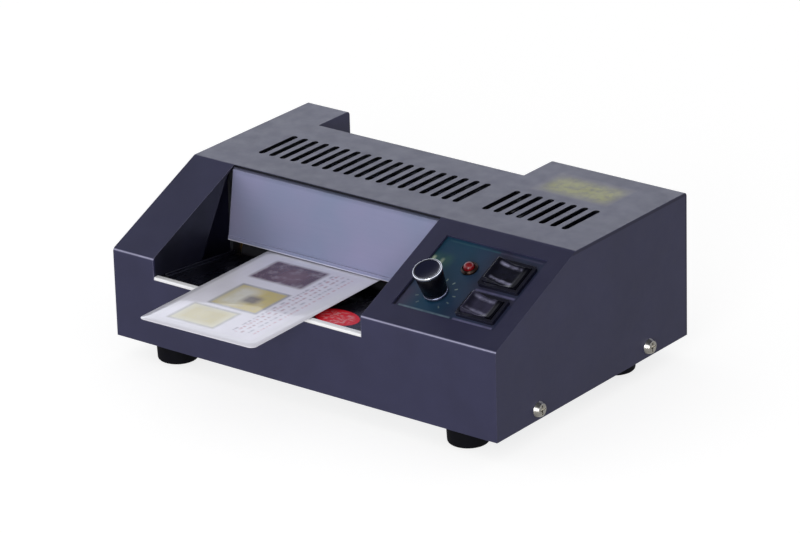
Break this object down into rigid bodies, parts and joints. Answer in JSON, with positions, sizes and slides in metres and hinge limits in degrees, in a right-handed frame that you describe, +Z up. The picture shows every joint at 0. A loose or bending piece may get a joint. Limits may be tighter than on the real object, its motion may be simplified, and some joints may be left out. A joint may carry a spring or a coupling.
{
  "type": "desktop pouch laminator",
  "caption": "Compact steel desktop laminator with a sloping feed mouth, panel with knob, lamp and two rocker switches, top vents and geared heated rollers.",
  "frame": {"origin": "on the table top, under the middle of the footprint with the pouch in the mouth", "axes": "+X to the right seen from the front, +Y from the feed mouth to the rear, +Z up"},
  "size_m": [0.2244, 0.1924, 0.0808],
  "materials": {
    "case_paint": "satin stoved enamel, fine orange peel",
    "zinc_sheet": "zinc plated sheet",
    "foot_rubber": "moulded, matt",
    "nickel_screw": "nickel plated, satin",
    "shield_sheet": "satin anodised",
    "table_paint": "semi-gloss black",
    "lip_bright": "bright polished",
    "frame_steel": "zinc plated",
    "rod_steel": "ground",
    "bush_brass": "sintered, oiled",
    "spring_wire": "drawn wire",
    "roller_silicone": "ground silicone",
    "gear_nylon": "moulded, satin",
    "pinion_brass": "machined",
    "motor_zinc": "die-cast, smooth",
    "motor_steel": "drawn, plated",
    "heater_alloy": "extruded, mill finish",
    "element_foil": "insulating film over foil",
    "dark_plastic": "moulded, matt",
    "board_laminate": "solder mask, satin",
    "nylon_white": "moulded, satin",
    "transformer_core": "varnished laminations",
    "terminal_green": "moulded, satin",
    "panel_sheet": "printed polyester film over sheet",
    "pot_shell": "plated",
    "knob_black": "moulded, glossy",
    "ring_chrome": "bright",
    "lamp_red": "tinted clear lens",
    "switch_black": "moulded, glossy",
    "contact_plate": "nickel plated",
    "pouch_film": "clear gloss film over a printed card"
  },
  "bodies": {
    "case": {"cover": "case_paint", "base_pan": "zinc_sheet", "rubber_feet": "foot_rubber", "foot_screws": "nickel_screw", "cover_screws": "nickel_screw", "front_shield": "shield_sheet", "rear_shield": "shield_sheet", "feed_table": "table_paint", "table_lip": "lip_bright", "exit_table": "table_paint", "left_side_frame": "frame_steel", "right_side_frame": "frame_steel", "tie_rods": "rod_steel", "frame_screws": "nickel_screw", "lower_bushes": "bush_brass", "front_springs": "spring_wire", "rear_springs": "spring_wire", "idler_pin": "rod_steel", "motor_bracket": "frame_steel", "motor_gearbox": "motor_zinc", "motor_can": "motor_steel", "motor_screws": "nickel_screw", "heater_bars": "heater_alloy", "heating_elements": "element_foil", "thermostat": "dark_plastic", "circuit_board": "board_laminate", "board_standoffs": "nylon_white", "transformer": "transformer_core", "board_parts": "dark_plastic", "terminal_block": "terminal_green", "control_panel": "panel_sheet", "potentiometer": "pot_shell", "indicator_lamp": "lamp_red", "lamp_bezel": "ring_chrome", "upper_switch_housing": "switch_black", "lower_switch_housing": "switch_black", "power_inlet": "dark_plastic", "inlet_pins": "contact_plate", "inlet_screws": "nickel_screw"},
    "rear_lower_roller": {"rear_lower_shaft": "rod_steel", "rear_lower_sleeve": "roller_silicone", "rear_lower_gear": "gear_nylon"},
    "front_lower_roller": {"front_lower_shaft": "rod_steel", "front_lower_sleeve": "roller_silicone", "front_lower_gear": "gear_nylon"},
    "rear_upper_roller": {"rear_upper_shaft": "rod_steel", "rear_upper_sleeve": "roller_silicone", "rear_upper_gear": "gear_nylon"},
    "front_upper_roller": {"front_upper_shaft": "rod_steel", "front_upper_sleeve": "roller_silicone", "front_upper_gear": "gear_nylon"},
    "front_upper_bush_pair": {"front_upper_bushes": "bush_brass"},
    "rear_upper_bush_pair": {"rear_upper_bushes": "bush_brass"},
    "idler": {"idler_gear": "gear_nylon"},
    "motor_drive": {"motor_pinion": "pinion_brass"},
    "heat_knob": {"knob": "knob_black", "knob_ring": "ring_chrome"},
    "upper_rocker_key": {"upper_rocker": "switch_black"},
    "lower_rocker_key": {"lower_rocker": "switch_black"},
    "pouch": {"laminating_pouch": "pouch_film"}
  },
  "joints": [
    {"name": "rear_lower_roller_spin", "type": "hinge", "parent": "case", "child": "rear_lower_roller", "pos_m": [-0.025, 0.05621, 0.034], "axis": [1, 0, 0], "continuous": true},
    {"name": "front_lower_roller_spin", "type": "hinge", "parent": "case", "child": "front_lower_roller", "pos_m": [-0.025, 0.01821, 0.034], "axis": [1, 0, 0], "continuous": true},
    {"name": "front_upper_roller_lift", "type": "slide", "parent": "case", "child": "front_upper_bush_pair", "axis": [0, 0, 1], "range_m": [0, 0.0008], "stiffness_N_per_m": 1500, "springref_m": -0.003, "deforming": ["front_springs"]},
    {"name": "rear_upper_roller_lift", "type": "slide", "parent": "case", "child": "rear_upper_bush_pair", "axis": [0, 0, 1], "range_m": [0, 0.0008], "stiffness_N_per_m": 1500, "springref_m": -0.003, "deforming": ["rear_springs"]},
    {"name": "front_upper_roller_spin", "type": "hinge", "parent": "front_upper_bush_pair", "child": "front_upper_roller", "pos_m": [-0.025, 0.01821, 0.056], "axis": [1, 0, 0], "continuous": true},
    {"name": "rear_upper_roller_spin", "type": "hinge", "parent": "rear_upper_bush_pair", "child": "rear_upper_roller", "pos_m": [-0.025, 0.05621, 0.056], "axis": [1, 0, 0], "continuous": true},
    {"name": "idler_gear_spin", "type": "hinge", "parent": "case", "child": "idler", "pos_m": [0.044, 0.03721, 0.034], "axis": [1, 0, 0], "continuous": true},
    {"name": "motor_pinion_spin", "type": "hinge", "parent": "case", "child": "motor_drive", "pos_m": [0.044, 0.03721, 0.048], "axis": [1, 0, 0], "continuous": true},
    {"name": "heat_knob_turn", "type": "hinge", "parent": "case", "child": "heat_knob", "pos_m": [0.0612, -0.03193, 0.0632], "axis": [0, -0.4127, 0.9109], "range_deg": [-140, 140]},
    {"name": "upper_rocker_tilt", "type": "hinge", "parent": "case", "child": "upper_rocker_key", "pos_m": [0.0882, -0.01442, 0.07037], "axis": [0, 0.9109, 0.4127], "range_deg": [-20, 0]},
    {"name": "lower_rocker_tilt", "type": "hinge", "parent": "case", "child": "lower_rocker_key", "pos_m": [0.0882, -0.03337, 0.06178], "axis": [0, 0.9109, 0.4127], "range_deg": [-20, 0]},
    {"name": "pouch_feed", "type": "slide", "parent": "case", "child": "pouch", "axis": [0, 1, 0], "range_m": [-0.07, 0.19]}
  ],
  "couplings": [
    {"joint": "front_lower_roller_spin", "follows": "rear_lower_roller_spin", "ratio": 1},
    {"joint": "front_upper_roller_spin", "follows": "rear_lower_roller_spin", "ratio": -1},
    {"joint": "rear_upper_roller_spin", "follows": "rear_lower_roller_spin", "ratio": -1},
    {"joint": "idler_gear_spin", "follows": "rear_lower_roller_spin", "ratio": -1.375},
    {"joint": "motor_pinion_spin", "follows": "rear_lower_roller_spin", "ratio": 1.8333}
  ]
}
